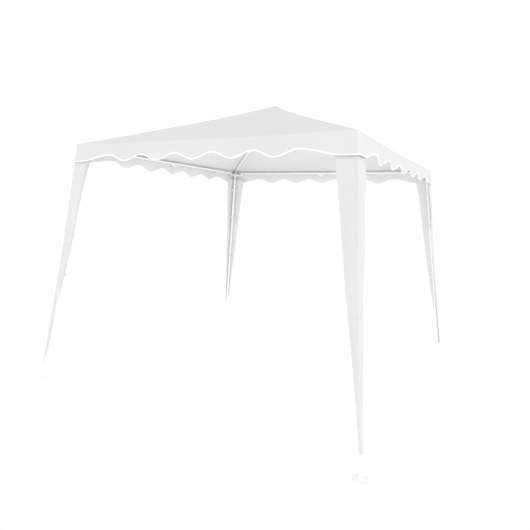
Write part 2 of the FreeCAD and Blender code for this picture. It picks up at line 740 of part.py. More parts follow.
def wave_cutter():
    """The block under the valance's waved edge, for the side that faces -Y."""
    half = value("roof_half")
    margin = 10
    low = value("roof_edge") - value("valance_deep") - 4 * margin
    step = value("wave_pitch") / 4
    count = int(half // step)
    stations = [-half - margin] + [step * i for i in range(-count, count + 1)] + [half + margin]
    points = []
    for x in stations:
        height = value("roof_edge") - valance_depth(min(abs(x), half))
        points.append(Vector(x, -half - margin, height))
    edge = Part.BSplineCurve()
    edge.interpolate(points)
    first = Vector(points[0].x, points[0].y, low)
    last = Vector(points[-1].x, points[-1].y, low)
    outline = Part.Wire(
        [
            edge.toShape(),
            Part.makeLine(points[-1], last),
            Part.makeLine(last, first),
            Part.makeLine(first, points[0]),
        ]
    )
    return Part.Face(outline).extrude(Vector(0, 2 * margin + value("cloth_thick"), 0))


def build_roof():
    """Roof and valance, sewn as one cover: a thin closed shell that is open below."""
    bottom = value("roof_edge") - value("valance_deep") - 1
    outer = roof_block(0, 0, bottom)
    inner = roof_block(value("cloth_thick"), value("cloth_drop"), bottom - 5)
    shell = outer.cut(inner)
    for facing in (0, 90, 180, 270):
        cutter = wave_cutter()
        cutter.rotate(Vector(0, 0, 0), Vector(0, 0, 1), facing)
        shell = shell.cut(cutter)
    item = doc.addObject("Part::Feature", "Cloth")
    item.Shape = shell.Solids[0] if len(shell.Solids) == 1 else shell
    keep(item, "roof_cover", Placement())


# ---------------------------------------------------------------- check and write


def check_and_write():
    doc.recompute()
    for item in doc.Objects:
        if "Invalid" in item.State or "Error" in item.State:
            raise RuntimeError(f"{item.Label} ({item.TypeId}) failed: {item.State}")
    os.makedirs("parts", exist_ok=True)
    for item in PIECES:
        shape = item.Shape
        if shape.isNull() or not shape.isValid() or not shape.Solids:
            raise RuntimeError(f"{item.Label} has no valid solid")
        shape.exportStep(os.path.join("parts", item.Label + ".step"))
        box = shape.BoundBox
        count = len(shape.Solids)
        volume = shape.Volume / 1000
        print(f"{item.Label}: {count} solid(s), {volume:.1f} cm3, z {box.ZMin:.1f} to {box.ZMax:.1f}")


build_hub()
build_hips()
build_eaves()
build_corners()
build_legs()
build_roof()
check_and_write()
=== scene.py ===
import json
import math

import bpy
import numpy as np
from mathutils import Matrix, Vector, noise


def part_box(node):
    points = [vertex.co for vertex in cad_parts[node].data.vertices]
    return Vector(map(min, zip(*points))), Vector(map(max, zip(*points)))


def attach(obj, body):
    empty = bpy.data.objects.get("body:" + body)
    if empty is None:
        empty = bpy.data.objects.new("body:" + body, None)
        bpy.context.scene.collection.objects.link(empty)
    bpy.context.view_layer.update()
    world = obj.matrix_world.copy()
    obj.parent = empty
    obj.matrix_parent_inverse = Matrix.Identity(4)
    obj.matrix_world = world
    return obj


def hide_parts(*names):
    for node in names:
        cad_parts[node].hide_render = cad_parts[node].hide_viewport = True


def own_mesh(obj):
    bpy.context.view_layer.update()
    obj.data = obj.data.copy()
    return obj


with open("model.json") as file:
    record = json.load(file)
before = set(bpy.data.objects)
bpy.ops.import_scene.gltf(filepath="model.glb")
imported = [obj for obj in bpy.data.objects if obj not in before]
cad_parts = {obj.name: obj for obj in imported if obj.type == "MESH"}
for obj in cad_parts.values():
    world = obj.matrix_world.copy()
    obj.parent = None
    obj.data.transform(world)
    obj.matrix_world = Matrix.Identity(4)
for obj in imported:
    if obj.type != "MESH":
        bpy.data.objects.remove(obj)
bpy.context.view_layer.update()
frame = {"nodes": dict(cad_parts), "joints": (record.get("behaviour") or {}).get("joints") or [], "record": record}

# ---------------------------------------------------------------- measures taken from the frame

JOINTS = {joint["name"]: joint for joint in frame["joints"]}
ROOF_LOW, ROOF_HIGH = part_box("roof_cover")
HALF = ROOF_HIGH.x
ROOF_POINTS = np.array([v.co for v in frame["nodes"]["roof_cover"].data.vertices])
EDGE = float(ROOF_POINTS[ROOF_POINTS[:, 0] > HALF - 1e-4, 2].max())
DEEP = EDGE - ROOF_LOW.z
CAP_LOW, CAP_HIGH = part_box("hub_cap")
CAP_RADIUS = CAP_HIGH.x
CAP_RIM = CAP_LOW.z + 0.006
CAP_CROWN = CAP_HIGH.z - CAP_RIM
HIP_SLOPE = math.radians(14.43)
RISE = math.sqrt(2) * math.tan(HIP_SLOPE)

CORNERS = {
    "rear_right": (1, 1),
    "rear_left": (-1, 1),
    "front_left": (-1, -1),
    "front_right": (1, -1),
}
# side: (direction that it faces, the names of its two ends and the way to each)
SIDES = {
    "front": ((0, -1), (("left", (-1, 0)), ("right", (1, 0)))),
    "right": ((1, 0), (("front", (0, -1)), ("rear", (0, 1)))),
    "rear": ((0, 1), (("right", (1, 0)), ("left", (-1, 0)))),
    "left": ((-1, 0), (("rear", (0, 1)), ("front", (0, -1)))),
}

CLOTH = 0.0011  # thickness of the fabric
FILLET = 0.005  # the roof turns down into the valance with this radius
FILLET_TURN = math.radians(70)
REACH = HALF - FILLET * (1 - math.cos(FILLET_TURN))
CAP_SHARE = 0.08  # part of the half side that the peak piece covers
STEPS = 40
EAVE_SAG = 0.012
PANEL_SAG = 0.018
PEAK_LIFT = 0.042
PEAK_REACH = 0.33
CENTRE_DROP = 0.002
BROAD_FOLDS = 0.0036
PULLED_FOLDS = 0.0024
DOME_POWER = 2.6
OVER_DOME = 0.0022
DOME_BLEND = 0.0012

WAVE_PITCH = 0.3425  # one wave of the valance's edge
SHALLOW = 0.100  # the valance's depth at a crest
LAST_CREST = 2.5 * WAVE_PITCH
CORNER_LEAN = 0.020
EDGE_LEAN = 0.003
CRUMPLE = 0.0022
ALONG_SIDE = np.concatenate([np.linspace(0, 0.98, 120), np.linspace(0.98, 1, 13)[1:]])

TAPE_LIFT = 0.0011
TAPE_THICK = 0.0008
PIPING_HALF_WIDTH = 0.0056
PIPING_HALF_THICK = 0.0021
PIPING_OUT = 0.0007
PIPING_SIDES = 10
TANGENT_STEP = 1e-4


def half_sides():
    """Each half of each side: its name, side, corner, facing direction and the way along it."""
    for side, (facing, ends) in SIDES.items():
        for end, along in ends:
            corner = next(
                name for name, (x, y) in CORNERS.items()
                if (x, y) == (facing[0] + along[0], facing[1] + along[1])
            )
            yield f"{side}_{end}", side, corner, np.array((*facing, 0.0)), np.array((*along, 0.0))


# ---------------------------------------------------------------- mesh helpers

UP = np.array((0.0, 0.0, 1.0))


def unit(vectors):
    length = np.linalg.norm(vectors, axis=-1, keepdims=True)
    return vectors / np.maximum(length, 1e-12)


def smooth(x, low, high):
    t = np.clip((x - low) / (high - low), 0, 1)
    return t * t * (3 - 2 * t)


def ripple(points, scale, seed):
    """Smooth seeded noise from -1 to 1 at each point."""
    flat = np.asarray(points, float).reshape(-1, 3) * scale
    values = [noise.noise(Vector((p[0], p[1], p[2] + seed))) for p in flat]
    return np.array(values).reshape(np.asarray(points).shape[:-1])


def new_object(name, points, faces, material, rounded=True):
    mesh = bpy.data.meshes.new(name)
    mesh.from_pydata([tuple(p) for p in points], [], faces)
    mesh.polygons.foreach_set("use_smooth", [rounded] * len(mesh.polygons))
    mesh.materials.append(material)
    mesh.update()
    piece = bpy.data.objects.new(name, mesh)
    bpy.context.scene.collection.objects.link(piece)
    return piece


def weave_attribute(piece, weave):
    layer = piece.data.attributes.new("weave", "FLOAT_VECTOR", "POINT")
    values = np.zeros((len(weave), 3), np.float32)
    values[:, :2] = weave
    layer.data.foreach_set("vector", values.ravel())


def grid_faces(rows, columns):
    return [
        (i * columns + j, i * columns + j + 1, (i + 1) * columns + j + 1, (i + 1) * columns + j)
        for i in range(rows - 1) for j in range(columns - 1)
    ]


def lattice(count):
    """A triangular lattice: the two shares of each point, and the faces."""
    shares, faces, start = [], [], []
    for i in range(count + 1):
        start.append(len(shares))
        shares += [(i / count, j / count) for j in range(count - i + 1)]
    for i in range(count):
        for j in range(count - i):
            a, b = start[i] + j, start[i + 1] + j
            faces.append((a, a + 1, b))
            if j < count - i - 1:
                faces.append((a + 1, b + 1, b))
    return np.array(shares), faces


def sample(surface, u, v, step=1e-4):
    """Points and unit normals of a surface that takes arrays u and v."""
    across = surface(u + step, v) - surface(u - step, v)
    along = surface(u, v + step) - surface(u, v - step)
    return surface(u, v), unit(np.cross(across, along))


def shell(name, points, normals, faces, weave, material, thick=CLOTH):
    """A closed thin sheet. The given points are its outer face, and normals point outwards."""
    count = len(points)
    turned = []
    for face in faces:
        a, b, c = (points[i] for i in face[:3])
        outward = np.dot(np.cross(b - a, c - a), normals[face[0]]) > 0
        turned.append(tuple(face) if outward else tuple(reversed(face)))
    ways = {(f[i], f[(i + 1) % len(f)]) for f in turned for i in range(len(f))}
    rim = [(a, b) for a, b in ways if (b, a) not in ways]
    every = turned + [tuple(i + count for i in reversed(f)) for f in turned]
    sides = [(b, a, a + count, b + count) for a, b in sorted(rim)]
    both = np.concatenate([points, points - normals * thick])
    piece = new_object(name, both, every + sides, material)
    leans = np.concatenate([normals, -normals])
    corners = [tuple(leans[i]) for face in every for i in face]
    corners += [(0.0, 0.0, 0.0)] * (4 * len(sides))
    piece.data.normals_split_custom_set(corners)
    weave_attribute(piece, np.concatenate([weave, weave]))
    return piece


def grid_shell(name, surface, us, vs, outward, size, material, thick=CLOTH):
    """A shell over a grid of u and v. outward is a rough outward direction, size the weave's."""
    u, v = (m.ravel() for m in np.meshgrid(us, vs, indexing="ij"))
    points, normals = sample(surface, u, v)
    if (normals @ outward).sum() < 0:
        normals = -normals
    weave = np.stack([u * size[0], v * size[1]], axis=-1)
    return shell(name, points, normals, grid_faces(len(us), len(vs)), weave, material, thick)


def threads(name, rows, material, pitch=0.006, length=0.0042, width=0.0009, height=0.0007):
    """Stitches along rows. A row is (points, normals) of a fine line on the cloth."""
    corners = np.array([(x, y, z) for x in (-1, 1) for y in (-1, 1) for z in (0, 1)], float)
    corners[:, 0] *= np.where(corners[:, 2] > 0, 0.7, 1.0)
    corners[:, 1] *= np.where(corners[:, 2] > 0, 0.5, 1.0)
    box = [(0, 1, 3, 2), (4, 6, 7, 5), (0, 4, 5, 1), (2, 3, 7, 6), (1, 5, 7, 3), (0, 2, 6, 4)]
    points, faces = [], []
    for line, normals in rows:
        run = np.concatenate([[0], np.cumsum(np.linalg.norm(np.diff(line, axis=0), axis=1))])
        at = np.arange(pitch, run[-1] - pitch / 2, pitch)
        spot, ahead, normal = (
            np.stack([np.interp(x, run, values[:, k]) for k in range(3)], axis=-1)
            for x, values in ((at, line), (at + length / 2, line), (at, normals))
        )
        forward, normal = unit(ahead - spot), unit(normal)
        sideways = np.cross(normal, forward)
        for c, f, s, n in zip(spot, forward, sideways, normal):
            base = len(points)
            points += [
                c + x * length / 2 * f + y * width / 2 * s + (z * height - 0.0002) * n
                for x, y, z in corners
            ]
            faces += [tuple(base + i for i in face) for face in box]
    return new_object(name, points, faces, material, rounded=False)


# ---------------------------------------------------------------- materials


class Nodes:
    """Short names for the node tree of one new material."""

    def __init__(self, name):
        self.material = bpy.data.materials.new(name)
        self.material.use_nodes = True
        self.tree = self.material.node_tree
        self.shader = self.tree.nodes["Principled BSDF"]

    def add(self, kind, **settings):
        node = self.tree.nodes.new(kind)
        for key, setting in settings.items():
            if hasattr(node, key):
                setattr(node, key, setting)
            else:
                node.inputs[key.replace("_", " ").title()].default_value = setting
        return node

    def link(self, source, target):
        self.tree.links.new(source, target)

    def set(self, **constants):
        for key, constant in constants.items():
            self.shader.inputs[key.replace("_", " ")].default_value = constant

    def place(self):
        return self.add("ShaderNodeTexCoord").outputs["Object"]

    def attribute(self, name):
        return self.add("ShaderNodeAttribute", attribute_name=name).outputs["Vector"]

    def noise(self, vector, scale, detail=3.0, roughness=0.5):
        node = self.add("ShaderNodeTexNoise", scale=scale, detail=detail, roughness=roughness)
        self.link(vector, node.inputs["Vector"])
        return node.outputs["Fac"]

    def wave(self, vector, scale, direction, distortion=0.0):
        node = self.add(
            "ShaderNodeTexWave", wave_type="BANDS", bands_direction=direction,
            wave_profile="SIN", scale=scale, distortion=distortion,
        )
        self.link(vector, node.inputs["Vector"])
        return node.outputs["Fac"]

    def math(self, operation, first, second):
        node = self.add("ShaderNodeMath", operation=operation)
        for socket, source in zip(node.inputs, (first, second)):
            if isinstance(source, (int, float)):
                socket.default_value = source
            else:
                self.link(source, socket)
        return node.outputs[0]

    def ramp(self, source, stops):
        """A colour ramp: stops are (place, grey or colour)."""
        node = self.add("ShaderNodeValToRGB")
        while len(node.color_ramp.elements) < len(stops):
            node.color_ramp.elements.new(0.5)
        for element, (position, colour) in zip(node.color_ramp.elements, stops):
            element.position = position
            shade = (colour,) * 3 if isinstance(colour, (int, float)) else colour
            element.color = (*shade, 1.0)
        self.link(source, node.inputs["Fac"])
        return node.outputs["Color"]

    def range(self, source, low, high):
        node = self.add("ShaderNodeMapRange")
        node.inputs["To Min"].default_value = low
        node.inputs["To Max"].default_value = high
        self.link(source, node.inputs["Value"])
        return node.outputs["Result"]

    def bump(self, height, distance, below=None):
        node = self.add("ShaderNodeBump")
        node.inputs["Distance"].default_value = distance
        self.link(height, node.inputs["Height"])
        if below is not None:
            self.link(below, node.inputs["Normal"])
        return node.outputs["Normal"]

    def finish(self, colour, roughness, normal):
        self.link(colour, self.shader.inputs["Base Color"])
        self.link(roughness, self.shader.inputs["Roughness"])
        self.link(normal, self.shader.inputs["Normal"])
        return self.material


def shades(middle, spread, tint=(1.0, 1.0, 1.0)):
    """Two stops around a grey, for a ramp over noise."""
    return [
        (place, tuple(min(1.0, (middle + shift * spread) * t) for t in tint))
        for place, shift in ((0.3, -1), (0.7, 1))
    ]


def cloth_material(name, middle, pitch=0.0016, creases=0.0006):
    """Coated polyester: a plain weave of crossing threads, faint mottling and soft creases."""
    m = Nodes(name)
    weave = m.attribute("weave")
    place = m.place()
    turns = 1 / (pitch * 20)
    warp = m.wave(weave, turns, "X", 0.15)
    weft = m.wave(weave, turns, "Y", 0.15)
    threads_height = m.math("MULTIPLY", warp, weft)
    mottle = m.noise(place, 2.2, 4.0)
    colour = m.ramp(mottle, shades(middle, 0.012))
    slub = m.noise(weave, 60.0, 2.0)
    roughness = m.range(slub, 0.66, 0.80)
    crease = m.bump(m.noise(place, 5.0, 5.0, 0.6), creases * 6)
    normal = m.bump(threads_height, 0.00012, crease)
    m.set(Sheen_Weight=0.12, Sheen_Roughness=0.5, Specular_IOR_Level=0.35)
    return m.finish(colour, roughness, normal)


def ribbon_material(name, middle):
    """Woven edging with fine ribs across it."""
    m = Nodes(name)
    weave = m.attribute("weave")
    ribs = m.wave(weave, 1 / (0.0018 * 20), "X", 0.2)
    colour = m.ramp(m.noise(weave, 90.0), shades(middle, 0.01))
    roughness = m.range(m.noise(weave, 40.0), 0.5, 0.65)
    m.set(Sheen_Weight=0.2, Sheen_Roughness=0.4)
    return m.finish(colour, roughness, m.bump(ribs, 0.00025))


def thread_material():
    m = Nodes("thread_white")
    place = m.place()
    twist = m.wave(place, 60.0, "DIAGONAL", 1.0)
    colour = m.ramp(m.noise(place, 300.0), shades(0.80, 0.03))
    m.set(Sheen_Weight=0.3)
    return m.finish(colour, m.range(twist, 0.45, 0.6), m.bump(twist, 0.0001))


def coated_steel(name, middle, scuffs):
    """Powder coat: a fine orange peel, with thin grey scuffs where parts rub."""
    m = Nodes(name)
    place = m.place()
    peel = m.noise(place, 900.0, 2.0)
    dulling = m.noise(place, 9.0, 4.0)
    scratch = m.noise(place, 70.0, 6.0, 0.75)
    worn = m.ramp(
        scratch, [(0.0, scuffs), (0.30, middle * 0.93), (0.36, middle), (1.0, middle + 0.01)]
    )
    m.set(Coat_Weight=0.25, Coat_Roughness=0.18, Specular_IOR_Level=0.5)
    return m.finish(worn, m.range(dulling, 0.30, 0.44), m.bump(peel, 0.00008))


def moulded_nylon(name, colour_stops):
    m = Nodes(name)
    place = m.place()
    grain = m.noise(place, 1400.0, 2.0)
    flow = m.noise(place, 25.0, 3.0)
    m.set(Subsurface_Weight=0.05, Subsurface_Scale=0.004, Specular_IOR_Level=0.45)
    return m.finish(m.ramp(flow, colour_stops), m.range(flow, 0.42, 0.56), m.bump(grain, 0.00006))


def plated_steel():
    m = Nodes("zinc_plated")
    place = m.place()
    spangle = m.noise(place, 220.0, 3.0, 0.6)
    colour = m.ramp(spangle, [(0.3, (0.55, 0.56, 0.58)), (0.7, (0.74, 0.75, 0.77))])
    m.set(Metallic=1.0)
    return m.finish(colour, m.range(spangle, 0.24, 0.42), m.bump(m.noise(place, 1500.0), 0.00004))


def footplate_material():
    """Coated plate with grey specks, a little darker towards the bottom."""
    m = Nodes("plate_coat")
    place = m.place()
    split = m.add("ShaderNodeSeparateXYZ")
    m.link(place, split.inputs[0])
    speck = m.noise(place, 160.0, 5.0, 0.7)
    low = m.math("MULTIPLY", split.outputs["Z"], 18.0)
    share = m.math("ADD", low, m.math("MULTIPLY", speck, 0.9))
    colour = m.ramp(
        share, [(0.40, (0.86, 0.855, 0.845)), (0.62, (0.93, 0.93, 0.925)), (1.0, 0.94)]
    )
    m.set(Coat_Weight=0.2, Coat_Roughness=0.25)
    return m.finish(colour, m.range(speck, 0.34, 0.55), m.bump(m.noise(place, 800.0), 0.0001))


# The roof is the same white fabric as the valance and the leg covers. Its darker grey is painted shade on the
# upward-facing roof.
CANVAS = cloth_material("canvas_roof_painted_shade", 0.67)
CANVAS_VALANCE = cloth_material("canvas_valance", 0.735)
CANVAS_LEG = cloth_material("canvas_leg", 0.74)
SEAM_TAPE = cloth_material("canvas_seam", 0.77, pitch=0.0012)
PIPING = ribbon_material("piping_white", 0.97)
THREAD = thread_material()

NODE_MATERIALS = {
    "white_tube": coated_steel("tube_coat", 0.90, 0.62),
    "white_fittings": coated_steel("fitting_coat", 0.88, 0.58),
    "white_plate": footplate_material(),
    "white_nylon": moulded_nylon("nylon_white", [(0.3, 0.84), (0.7, 0.88)]),
    "grey_nylon": moulded_nylon(
        "nylon_grey", [(0.3, (0.30, 0.31, 0.32)), (0.7, (0.36, 0.37, 0.38))]
    ),
    "zinc_pins": plated_steel(),
}


def finish_cad_nodes():
    """Give every CAD node that stays in view the material of its slot in the record."""
    for row in frame["record"]["subparts"]:
        material = NODE_MATERIALS.get(row["material_slot"])
        if material is not None:
            mesh = frame["nodes"][row["node"]].data
            mesh.materials.clear()
            mesh.materials.append(material)


# ---------------------------------------------------------------- roof


def roof_height(a, b, x, y):
    """Height of the cloth's outer face, a out from the centre and b along the side."""
    share = b / np.maximum(a, 1e-4)
    q = a / HALF
    lift = PEAK_LIFT * np.exp(-a / PEAK_REACH)
    cone = EDGE + RISE * (HALF - a) + lift - CENTRE_DROP * (1 - q)
    sag = (PANEL_SAG * np.sin(math.pi * q) + EAVE_SAG * q**3) * (1 - share**2)
    folds = np.stack([x, y, np.zeros_like(x)], axis=-1)
    spread = 3.2 / np.maximum(np.hypot(x, y), 1e-3)
    pulled = np.stack([x * spread, y * spread, a * 0.9], axis=-1)
    inside = np.clip(1 - share**4, 0, 1) * smooth(a, 0.05, 0.30) * smooth(HALF - a, 0.0, 0.16)
    broad = BROAD_FOLDS * ripple(folds, 2.6, 3.1)
    waves = (broad + PULLED_FOLDS * ripple(pulled, 2.4, 7.7)) * inside
    z = cone - sag + waves
    radius = np.sqrt(a * a + b * b)
    dome = CAP_RIM + CAP_CROWN * (1 - (radius / CAP_RADIUS) ** DOME_POWER) + OVER_DOME
    gap = np.abs(z - dome)
    blended = np.log1p(np.exp(-np.minimum(gap / DOME_BLEND, 50)))
    return np.maximum(z, dome) + DOME_BLEND * blended


def on_roof(facing, along, a, b):
    plan = a[..., None] * facing + b[..., None] * along
    return plan + roof_height(a, b, plan[..., 0], plan[..., 1])[..., None] * UP


def upper_surface(facing, along):
    """u runs out from the centre, v from the middle of the side to the hip."""
    return lambda u, v: on_roof(facing, along, u * REACH * (1 - v / 2), u * REACH * v / 2)


def lower_surface(facing, along):
    """u runs from the middle of the eave to the corner, v from there to the middle of the hip."""
    return lambda u, v: on_roof(facing, along, REACH * (1 - v / 2), REACH * (u + v / 2))


def fold_squash(piece, facing, along, axis, keep):
    """Give the piece its own mesh; it is not flattened towards the hip. axis is (across the hip, off the bar) and
    is not used.
    """
    outward = unit(facing + along)
    across = unit(facing - along)
    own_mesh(piece)


# the axis (across the hip, off the bar) and the share kept at full fold
UPPER_FOLD = ((0.8663, -0.4996), 0.0213)
LOWER_FOLD = ((0.9990, 0.0453), 0.1486)
PANEL_BASE = HALF / math.cos(math.atan(RISE))


def build_roof():
    stitch_at = 0.008
    for name, side, corner, facing, along in half_sides():
        us = np.linspace(CAP_SHARE, 1, STEPS + 1)
        vs = np.linspace(0, 1, STEPS + 1)
        upper = grid_shell(
            f"roof_upper_{name}", upper_surface(facing, along), us, vs, UP,
            (PANEL_BASE, PANEL_BASE), CANVAS,
        )
        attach(upper, f"hip_upper_{corner}")
        fold_squash(upper, facing, along, *UPPER_FOLD)

        shares, faces = lattice(STEPS)
        surface = lower_surface(facing, along)
        points, normals = sample(surface, shares[:, 0], shares[:, 1])
        normals *= np.sign(normals[:, 2:3])
        lower = shell(
            f"roof_lower_{name}", points, normals, faces, shares * (HALF, PANEL_BASE), CANVAS
        )
        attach(lower, f"hip_lower_{corner}")
        fold_squash(lower, facing, along, *LOWER_FOLD)

        run = np.linspace(0, 1, 60)
        v_in = np.full_like(run, 2 * stitch_at / REACH)
        u_in = run * (1 - 2 * stitch_at / REACH)
        line, up = sample(surface, u_in, v_in)
        up *= np.sign(up[:, 2:3])
        row = threads(f"roof_eave_stitches_{name}", [(line, up)], THREAD)
        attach(row, f"hip_lower_{corner}")
        fold_squash(row, facing, along, *LOWER_FOLD)
        for piece in (upper, lower, row):
            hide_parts("roof_cover")


def build_peak():
    """The piece of roof over the dome, from eight small grids welded together."""
    index, points, normals, faces = {}, [], [], []
    for _, _, _, facing, along in half_sides():
        us = np.linspace(1e-6, CAP_SHARE, 9)
        vs = np.linspace(0, 1, 13)
        u, v = (m.ravel() for m in np.meshgrid(us, vs, indexing="ij"))
        spots, ups = sample(upper_surface(facing, along), u, v, 1e-7)
        ups *= np.sign(ups[:, 2:3])
        numbers = []
        for spot, up in zip(spots, ups):
            key = tuple(np.round(spot[:2] / 2e-5).astype(int))
            if key not in index:
                index[key] = len(points)
                points.append(spot)
                normals.append(np.zeros(3))
            normals[index[key]] += up
            numbers.append(index[key])
        for face in grid_faces(len(us), len(vs)):
            ring = list(dict.fromkeys(numbers[i] for i in face))
            if len(ring) > 2:
                faces.append(tuple(ring))
    points = np.array(points)
    peak = shell("roof_peak", points, unit(np.array(normals)), faces, points[:, :2], CANVAS)
    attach(peak, "hub")
    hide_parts("roof_cover")


def build_hip_seams():
    """A tape sewn over each hip by two rows of thread, in two lengths that meet at the knuckle."""
    half_width = 0.011
    for corner, (sx, sy) in CORNERS.items():
        outward = np.array((sx, sy, 0.0)) / math.sqrt(2)
        across = np.array((-sy, sx, 0.0)) / math.sqrt(2)

        def tape(c, r):
            plan = r[..., None] * outward + (c * half_width)[..., None] * across
            size = np.abs(plan)
            a, b = size.max(axis=-1), size.min(axis=-1)
            soft = 0.0016 * np.log1p(np.exp(-(a - b) / 0.0016)) * RISE
            z = roof_height(a, b, plan[..., 0], plan[..., 1]) - soft + TAPE_LIFT
            return plan + z[..., None] * UP

        whole = REACH * math.sqrt(2)
        for part, start, end in (("upper", CAP_SHARE / 2, 0.5), ("lower", 0.5, 0.9985)):
            cs = np.linspace(-1, 1, 13)
            rs = np.linspace(start, end, 70) * whole
            strip = grid_shell(
                f"hip_seam_{part}_{corner}", tape, cs, rs, UP, (half_width, 1.0), SEAM_TAPE,
                TAPE_THICK,
            )
            fine = np.linspace(start, end, 200) * whole
            rows = []
            for c in (-0.72, 0.72):
                line, up = sample(tape, np.full_like(fine, c), fine)
                rows.append((line, up * np.sign(up[:, 2:3])))
            stitches = threads(f"hip_stitches_{part}_{corner}", rows, THREAD)
            for piece in (strip, stitches):
                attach(piece, f"hip_{part}_{corner}")
                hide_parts("roof_cover")


# ---------------------------------------------------------------- valance


def valance_depth(d):
    """Depth of the waved edge at a distance from the middle of the side."""
    d = np.abs(d)
    wave = (DEEP + SHALLOW) / 2 + (DEEP - SHALLOW) / 2 * np.cos(2 * math.pi * d / WAVE_PITCH)
    share = np.clip((d - LAST_CREST) / (HALF * 0.93 - LAST_CREST), 0, 1)
    tail = SHALLOW + (DEEP - SHALLOW) * (1 - np.cos(math.pi * share)) / 2
    return np.where(d < LAST_CREST, wave, tail)


def valance_swing(side, d, x, y):
    """How far the edge hangs out of the valance's plane."""
    hold = smooth(HALF - np.abs(d), 0.06, 0.40)
    low = 0.5 + 0.5 * np.cos(2 * math.pi * d / WAVE_PITCH)
    if side == "right":
        depth = -(0.004 + 0.013 * smooth(-y, 0.05, 0.45)) * low + 0.004 * (1 - low)
    else:
        depth = 0.006 * low - 0.005 * (1 - low)
    drift = 0.006 * ripple(np.stack([x, y, np.zeros_like(x)], axis=-1), 4.1, 5.0)
    return hold * (depth + drift)


def valance_surface(side, facing, along, extra=0.0):
    """u is the share of the half side from its middle, v from -1 at the roof to 1 at the edge."""

    def surface(u, v):
        d = u * HALF
        roll = np.clip(-v, 0, 1)
        f = np.clip(v, 0, 2)
        turn = FILLET_TURN * roll
        out = HALF - FILLET + FILLET * np.cos(turn)
        radius = 0.002 + 0.012 * smooth(f, 0, 0.6)
        straight = out - radius
        run = np.abs(u) * (straight + radius * math.pi / 4)
        bend = np.clip((run - straight) / radius, 0, math.pi / 4)
        lateral = np.minimum(run, straight) + radius * np.sin(bend)
        out = out - radius + radius * np.cos(bend)
        lean = CORNER_LEAN * smooth(np.abs(d), 0.6 * HALF, HALF) * f**1.15
        plan_x = lateral * np.sign(u) * along[0] + HALF * facing[0]
        plan_y = lateral * np.sign(u) * along[1] + HALF * facing[1]
        near = np.minimum(lateral, REACH)
        top = roof_height(np.full_like(near, REACH), near, plan_x, plan_y)
        top = top - FILLET * math.sin(FILLET_TURN)
        bottom = EDGE - valance_depth(d)
        crumple = ripple(np.stack([plan_x * 5, plan_y * 5, f * 0.9], axis=-1), 1.0, 11.0)
        out = out + valance_swing(side, d, plan_x, plan_y) * f**1.8 + EDGE_LEAN * f * f + extra
        held = smooth(HALF - np.abs(d), 0.0, 0.1)
        out = out + CRUMPLE * crumple * np.sin(math.pi * np.clip(f, 0, 1)) * held
        z = top + FILLET * np.sin(turn) - f * (top - bottom)
        out = out + lean
        lateral = lateral + (lean + EDGE_LEAN * f * f + extra) * np.abs(u) ** 3
        point = out[..., None] * facing + (lateral * np.sign(u))[..., None] * along
        return point + z[..., None] * UP

    return surface


def edge_piping(name, surface, us, material):
    """A flat cord sewn over the waved edge: an ellipse swept along it."""
    u = np.asarray(us)
    edge = np.ones_like(u)
    points, normals = sample(surface, u, edge)
    facing = unit(points[len(points) // 2] * (1, 1, 0))
    normals = normals * np.sign((normals @ facing).sum())
    tangent = unit(surface(u + TANGENT_STEP, edge) - surface(u - TANGENT_STEP, edge))
    down = unit(np.cross(tangent, normals))
    down *= np.sign(-(down @ UP).sum())
    sides = PIPING_SIDES
    ring = np.linspace(0, 2 * math.pi, sides, endpoint=False)
    verts = (
        points[:, None] + PIPING_OUT * normals[:, None]
        + PIPING_HALF_WIDTH * np.cos(ring)[None, :, None] * down[:, None]
        + PIPING_HALF_THICK * np.sin(ring)[None, :, None] * normals[:, None]
    ).reshape(-1, 3)
    faces = []
    for i in range(len(u) - 1):
        for j in range(sides):
            k = (j + 1) % sides
            faces.append((i * sides + j, i * sides + k, (i + 1) * sides + k, (i + 1) * sides + j))
    last = (len(u) - 1) * sides
    faces += [tuple(reversed(range(sides))), tuple(range(last, last + sides))]
    facet = faces[0]
    a, b, c = (verts[i] for i in facet[:3])
    if np.dot(np.cross(b - a, c - a), (a + b + c) / 3 - points[0]) < 0:
        faces = [tuple(reversed(f)) for f in faces]
    piece = new_object(name, verts, faces, material)
    for cap in (-1, -2):
        piece.data.polygons[cap].use_smooth = False
    run = np.concatenate([[0], np.cumsum(np.linalg.norm(np.diff(points, axis=0), axis=1))])
    weave = np.stack([np.repeat(run, sides), np.tile(ring * 0.004, len(u))], axis=-1)
    weave_attribute(piece, weave)
    return piece


def build_valances():
    mean_depth = (DEEP + SHALLOW) / 2
    for name, side, corner, facing, along in half_sides():
        surface = valance_surface(side, facing, along)
        vs = np.concatenate([np.linspace(-1, 0, 6), np.linspace(0, 1, 15)[1:]])
        flap = grid_shell(
            f"valance_{name}", surface, ALONG_SIDE, vs, facing, (HALF, mean_depth), CANVAS_VALANCE
        )
        piping = edge_piping(f"piping_{name}", surface, ALONG_SIDE, PIPING)
        rows = []
        for v in (0.06, 0.93):
            fine = np.linspace(0.002, 0.99, 260)
            line, out = sample(surface, fine, np.full_like(fine, v))
            rows.append((line, out * np.sign((out @ facing).sum())))
        stitches = threads(f"valance_stitches_{name}", rows, THREAD)
        for piece in (flap, piping, stitches):
            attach(piece, f"eave_{name}")
            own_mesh(piece)
            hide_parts("roof_cover")


